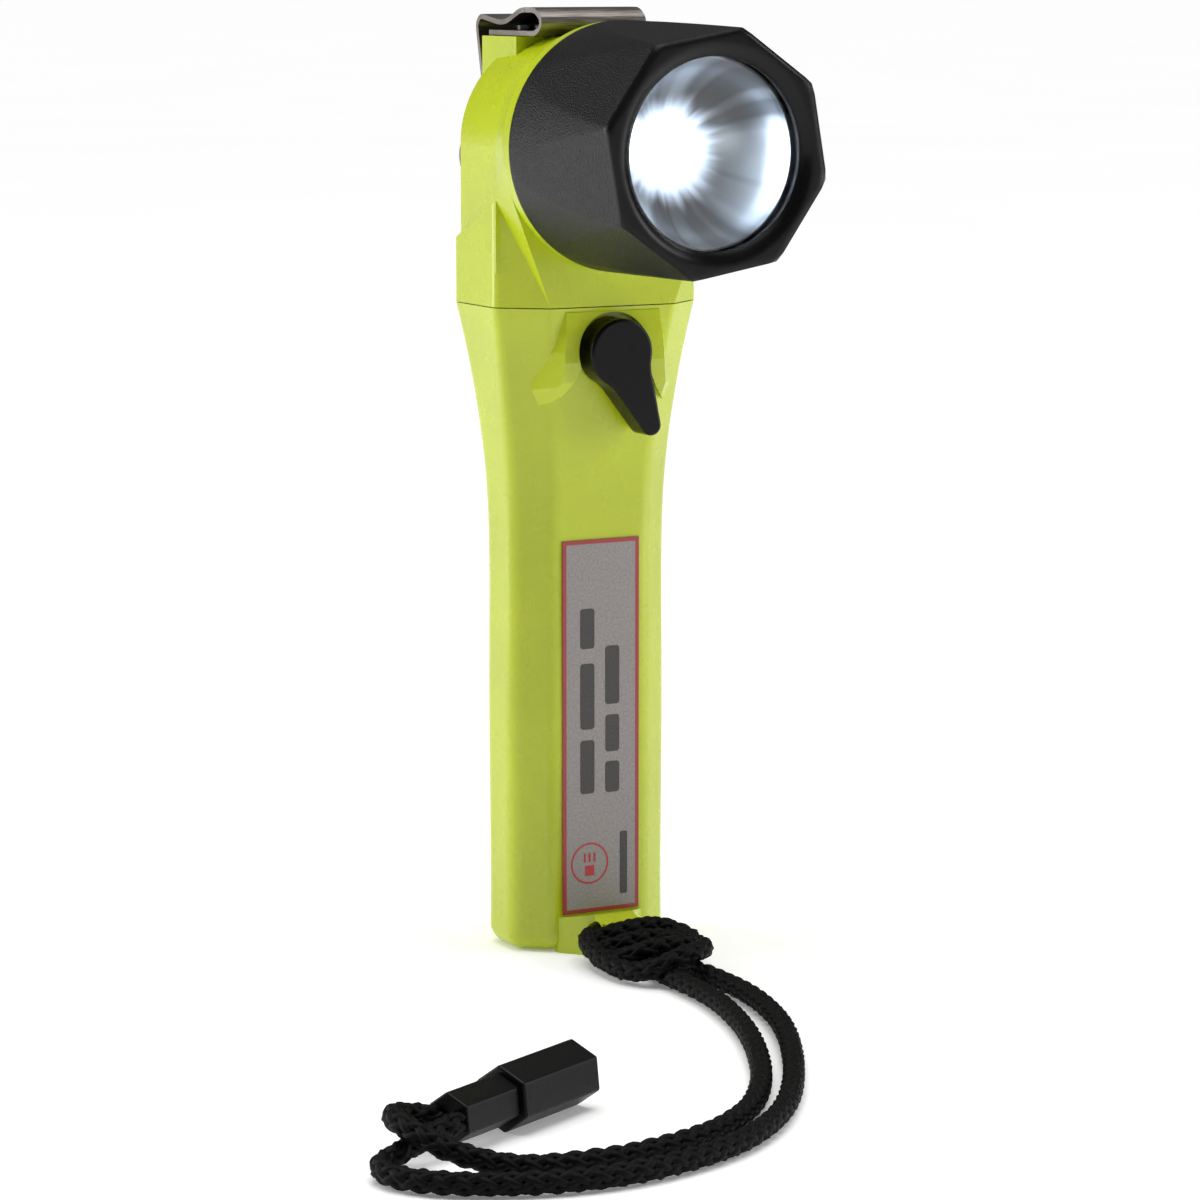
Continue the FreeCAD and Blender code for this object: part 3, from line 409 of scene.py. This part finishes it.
def as_mesh(name, shape, smooth=True):
    """Turns a bmesh into a mesh with its faces outward, and frees it."""
    mesh = bpy.data.meshes.new(name)
    bmesh.ops.recalc_face_normals(shape, faces=shape.faces)
    for face in shape.faces:
        face.smooth = smooth
    shape.to_mesh(mesh)
    shape.free()
    return mesh


MERGE_GAP = 0.02 * MM  # vertices closer than this are one


def bevelled_bar(name, node, width):
    """A copy of a plain CAD bar with its sharp edges broken."""
    shape = bmesh.new()
    shape.from_mesh(NODES[node].data)
    bmesh.ops.remove_doubles(shape, verts=shape.verts, dist=MERGE_GAP)
    bmesh.ops.dissolve_limit(shape, angle_limit=math.radians(1), verts=shape.verts, edges=shape.edges)
    bmesh.ops.bevel(shape, geom=shape.edges[:], offset=width * MM, affect="EDGES", segments=2,
                    profile=0.5, material=-1)
    return piece(name, as_mesh(name, shape, smooth=False), FITTING, "case", "cord_end_plastic", node)


CORD_END = [bevelled_bar("cord_end_sleeve_body", "cord_end_sleeve", 0.3),
            bevelled_bar("cord_end_cap_body", "cord_end_cap", 0.35)]


# Braided cord: eight strands, four each way, over and under each other

BRAID_PITCH = 15.0  # one full turn of a strand
STRANDS_EACH_WAY = 4
STRAND_RADIUS = 0.86
BRAID_RADIUS = 1.12  # from the cord's middle to a strand's middle
BRAID_WAVE = 0.2  # how far a strand goes over and under
STEP = 0.55  # spacing of the points along a strand


def smooth_line(points, name):
    """The points of a NURBS line through the route, in metres."""
    data = bpy.data.curves.new(name, "CURVE")
    data.dimensions = "3D"
    data.resolution_u = 24
    spline = data.splines.new("NURBS")
    spline.points.add(len(points) - 1)
    for spot, point in zip(spline.points, points):
        spot.co = (*(c * MM for c in point), 1)
    spline.order_u = 3
    spline.use_endpoint_u = True
    holder = bpy.data.objects.new(name, data)
    mesh = bpy.data.meshes.new_from_object(holder)
    line = [v.co.copy() for v in mesh.vertices]
    bpy.data.objects.remove(holder)
    bpy.data.curves.remove(data)
    bpy.data.meshes.remove(mesh)
    return line


def evenly(line, step):
    """The same line with its points a step apart."""
    spots, left, here = [line[0]], step, line[0]
    for there in line[1:]:
        run = (there - here).length
        while run >= left and run > 0:
            here = here + (there - here) * (left / run)
            spots.append(here)
            run, left = (there - here).length, step
        left -= run
        here = there
    if (line[-1] - spots[-1]).length > step * 0.3:
        spots.append(line[-1])
    return spots


def frames_along(spots):
    """Point, side and up at each spot, carried along without twist."""
    found, side = [], None
    for i, spot in enumerate(spots):
        ahead = (spots[min(i + 1, len(spots) - 1)] - spots[max(i - 1, 0)]).normalized()
        if side is None:
            side = ahead.cross(Vector((0, 0, 1))).normalized()
        side = (side - ahead * side.dot(ahead)).normalized()
        found.append((spot, side, ahead.cross(side)))
    return found


def braid(name, lines):
    """A braided cord along each line, as one mesh of round strands."""
    data = bpy.data.curves.new(name, "CURVE")
    data.dimensions = "3D"
    data.bevel_depth = STRAND_RADIUS * MM
    data.bevel_resolution = 1
    data.use_fill_caps = True
    for line in lines:
        spots = frames_along(evenly(line, STEP * MM))
        for way in (1, -1):
            for k in range(STRANDS_EACH_WAY):
                start = (2 * math.pi * k + (math.pi if way < 0 else 0)) / STRANDS_EACH_WAY
                strand = data.splines.new("POLY")
                strand.points.add(len(spots) - 1)
                for i, (spot, side, up) in enumerate(spots):
                    turn = 2 * math.pi * i * STEP / BRAID_PITCH
                    out = MM * (BRAID_RADIUS + way * BRAID_WAVE * math.sin(STRANDS_EACH_WAY * turn))
                    angle = start + way * turn
                    place = spot + (side * math.cos(angle) + up * math.sin(angle)) * out
                    strand.points[i].co = (*place, 1)
    holder = bpy.data.objects.new(name, data)
    mesh = bpy.data.meshes.new_from_object(holder)
    mesh.name = name
    bpy.data.objects.remove(holder)
    bpy.data.curves.remove(data)
    for face in mesh.polygons:
        face.use_smooth = True
    return mesh


CORD_A = [(3.6, -46.0, 2.3), (4.4, -57.5, 2.3), (2.6, -72.3, 2.3), (-1.8, -87.8, 2.3), (-10.0, -105.4, 2.3),
          (-20.1, -123.2, 2.3), (-30.3, -137.6, 2.3), (-41.5, -148.5, 2.3), (-53.1, -155.2, 2.3),
          (-67.3, -159.5, 2.3), (-80.4, -159.8, 2.3), (-92.5, -156.5, 2.3), (-102.5, -151.0, 2.3),
          (-108.6, -143.6, 2.3), (-108.4, -136.8, 2.4), (-102.8, -134.2, 3.2), (-96.0, -132.9, 5.4),
          (-90.2, -130.5, 6.0)]
CORD_B = [(-3.6, -46.0, 2.3), (-3.2, -58.0, 2.3), (-5.3, -72.0, 2.3), (-10.0, -88.5, 2.3),
          (-17.0, -105.0, 2.3), (-24.6, -119.6, 2.3), (-33.7, -132.7, 2.3), (-43.4, -141.8, 2.3),
          (-54.2, -147.5, 2.3), (-65.9, -150.4, 2.3), (-78.0, -150.9, 2.3), (-89.0, -148.3, 2.4),
          (-97.5, -143.2, 4.8), (-102.2, -136.6, 7.7), (-102.8, -129.9, 8.4), (-98.6, -126.2, 7.6),
          (-92.2, -126.7, 6.0)]
CORD_A_LENGTH = 0.2157
CORD_B_LENGTH = 0.1911

for name, route, length in (("lanyard_cord_a", CORD_A, CORD_A_LENGTH),
                            ("lanyard_cord_b", CORD_B, CORD_B_LENGTH)):
    line = smooth_line(route, name + "_line")
    strand = piece(name + "_braid", braid(name, [line]), CORD, "case", "cord", name)


def lanyard_hitch():
    """A doubled cow hitch: an oval bight through the lug, three turns over it, two strands out under it."""
    oval = [(-2.0, -17.6, 4.9), (-6.8, -17.8, 4.9), (-9.6, -24.0, 4.2), (-10.2, -32.0, 3.0),
            (-9.6, -40.0, 2.4), (-6.4, -45.6, 3.6), (-1.5, -47.0, 6.2), (3.0, -46.0, 6.6), (7.6, -41.5, 5.8),
            (9.0, -33.0, 5.0), (9.0, -24.0, 4.9), (6.4, -17.8, 4.9), (2.0, -17.6, 4.9)]
    right = [(5.6, -19.5, 3.6), (3.2, -24.5, 3.0), (2.7, -33.0, 2.4), (3.2, -40.0, 2.3), (3.6, -47.0, 2.3)]
    left = [(-x, y, z) for x, y, z in right]
    over_lug = [(-8.2, -19.5, 3.2), (-5.2, -21.2, 5.2), (0.0, -22.0, 6.2), (5.2, -22.4, 6.6),
                (9.2, -24.6, 6.0), (10.4, -31.0, 5.0)]
    middle = [(-8.4, -23.5, 2.4), (-4.0, -26.4, 4.6), (1.5, -27.6, 5.6), (6.5, -29.6, 5.2), (8.6, -36.0, 4.2)]
    lower = [(-9.2, -27.0, 2.3), (-7.6, -33.0, 3.0), (-3.0, -35.6, 5.2), (2.0, -36.2, 6.0), (6.4, -38.4, 5.4)]
    lines = [smooth_line(route, "hitch_line") for route in (oval, right, left, over_lug, middle, lower)]
    mesh = braid("lanyard_hitch", lines)
    piece("lanyard_hitch", mesh, CORD, "case", "cord", "lanyard_loop", "lanyard_knot")


lanyard_hitch()


# The label's print: plain bars and a lamp sign, with no lettering

PRINT_LIFT = 0.03  # ink stands this far off the film


def on_label(shape, across, up):
    """Stands a flat shape drawn on XY up on the label's face, with its middle at across, up."""
    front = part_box("label_plate")[0].y - PRINT_LIFT * MM
    place = Matrix.Translation((across * MM, front, up * MM)) @ Matrix.Rotation(math.radians(90), 4, "X")
    bmesh.ops.transform(shape, matrix=place, verts=shape.verts)
    return shape


def printed(name, parts, material):
    """Joins flat shapes into one thin layer of ink."""
    whole = bmesh.new()
    for part in parts:
        mesh = bpy.data.meshes.new("part")
        part.to_mesh(mesh)
        part.free()
        whole.from_mesh(mesh)
        bpy.data.meshes.remove(mesh)
    bmesh.ops.recalc_face_normals(whole, faces=whole.faces)
    bmesh.ops.solidify(whole, geom=whole.faces[:], thickness=PRINT_LIFT * MM)
    return piece(name, as_mesh(name, whole, smooth=False), material, "case", "label")


def bar(across, up, width, height):
    """A plain bar with rounded corners."""
    shape = bmesh.new()
    bmesh.ops.create_grid(shape, x_segments=1, y_segments=1, size=0.5)
    bmesh.ops.scale(shape, vec=(width * MM, height * MM, 1), verts=shape.verts)
    corner = min(width, height) * 0.2 * MM
    bmesh.ops.bevel(shape, geom=shape.verts[:], offset=corner, affect="VERTICES", segments=3,
                    profile=0.5, material=-1)
    return on_label(shape, across, up)


def ring_sign(across, up, radius, line):
    """A circle drawn in a line of the given width."""
    shape = bmesh.new()
    bmesh.ops.create_circle(shape, cap_ends=False, segments=48, radius=radius * MM)
    rim = bmesh.ops.extrude_edge_only(shape, edges=shape.edges[:])["geom"]
    inner = [v for v in rim if isinstance(v, bmesh.types.BMVert)]
    bmesh.ops.scale(shape, vec=((radius - line) / radius,) * 3, verts=inner)
    return on_label(shape, across, up)


def lamp_sign(across, up):
    """A small lamp head with three rays."""
    head = bmesh.new()
    bmesh.ops.create_circle(head, cap_ends=True, segments=4, radius=1.5 * MM,
                            matrix=Matrix.Rotation(math.radians(45), 4, "Z"))
    rays = [bar(across + x, up + 1.6, 0.45, 1.9) for x in (-1.1, 0, 1.1)]
    return [on_label(head, across, up - 1.1), *rays]


# Middle across, middle up, width and height
WORD_BARS = [(-3.1, 38.0, 3.2, 11.0), (-3.1, 52.5, 3.2, 13.5), (-3.1, 66.4, 3.2, 8.2),
             (2.6, 35.6, 3.2, 6.4), (2.6, 44.6, 3.2, 7.6), (2.6, 56.6, 3.2, 12.0), (5.2, 17.5, 1.7, 13.0)]
printed("label_bars", [bar(*spot) for spot in WORD_BARS], DARK_INK)
printed("label_sign", [ring_sign(-2.6, 18.0, 4.3, 0.4), *lamp_sign(-2.6, 17.6)], RED_INK)


# Light, floor and camera

LIGHT_TARGET = Vector((0, 0, 0.11))
SKY_ON_OBJECT, SKY_SEEN = 0.12, 1.0  # the sky's strength as a light, and as the camera sees it
OVERHEAD_STRENGTH, OVERHEAD_SPREAD = 2.4, 60  # the spread is in degrees
FOCAL_LENGTH = 123.45
CAMERA_PLACE = (-0.38316, -0.73702, 0.19993)
CAMERA_DIP, CAMERA_HEADING = 8.853, -27.811  # degrees


def floor():
    """A pale floor that glows faintly, so that it stays white under soft light."""
    shape = bmesh.new()
    bmesh.ops.create_grid(shape, x_segments=1, y_segments=1, size=40)
    ground = bpy.data.objects.new("floor", as_mesh("floor", shape, smooth=False))
    bpy.context.scene.collection.objects.link(ground)
    made, tree, surface = finish("pale_floor", "FBFBFB", 0.9, specular_ior_level=0.1,
                                 emission_strength=0.16)
    tree.links.new(ramp(tree, pattern(tree, 300, 2).outputs[0], colour("FAFAFA"), colour("FCFCFC")),
                   surface.inputs["Base Color"])
    ground.data.materials.append(made)


def softbox(name, place, width, height, power):
    """A rectangular light aimed at the middle of the case."""
    data = bpy.data.lights.new(name, "AREA")
    data.shape = "RECTANGLE"
    data.size, data.size_y, data.energy = width, height, power
    lamp = bpy.data.objects.new(name, data)
    lamp.location = place
    lamp.rotation_mode = "QUATERNION"
    lamp.rotation_quaternion = (LIGHT_TARGET - Vector(place)).to_track_quat("-Z", "Y")
    bpy.context.scene.collection.objects.link(lamp)


def studio():
    """A dim sky that the camera sees as white, a soft light overhead and a box on each side."""
    world = bpy.data.worlds.new("studio")
    bpy.context.scene.world = world
    world.use_nodes = True
    sky = world.node_tree.nodes["Background"]
    sky.inputs["Color"].default_value = (1, 1, 1, 1)
    seen = add(world.node_tree, "ShaderNodeLightPath").outputs["Is Camera Ray"]
    brightness = scale_to(world.node_tree, seen, SKY_ON_OBJECT, SKY_SEEN)
    world.node_tree.links.new(brightness, sky.inputs["Strength"])
    overhead = bpy.data.lights.new("overhead", "SUN")
    overhead.energy, overhead.angle = OVERHEAD_STRENGTH, math.radians(OVERHEAD_SPREAD)
    lamp = bpy.data.objects.new("overhead", overhead)
    bpy.context.scene.collection.objects.link(lamp)
    softbox("left_box", (-0.8, 0.58, 0.3), 0.3, 0.9, 7)
    softbox("right_box", (0.8, -0.5, 0.3), 0.25, 0.9, 5)
    bpy.context.scene.view_settings.view_transform = "Standard"


def camera():
    """A long lens, in front of the case and to its left, a little above it."""
    data = bpy.data.cameras.new("camera")
    data.lens, data.sensor_width = FOCAL_LENGTH, 36
    data.clip_start, data.clip_end = 0.01, 50
    made = bpy.data.objects.new("camera", data)
    made.location = CAMERA_PLACE
    made.rotation_euler = (math.radians(90 - CAMERA_DIP), 0, math.radians(CAMERA_HEADING))
    bpy.context.scene.collection.objects.link(made)
    bpy.context.scene.camera = made


floor()
studio()
camera()
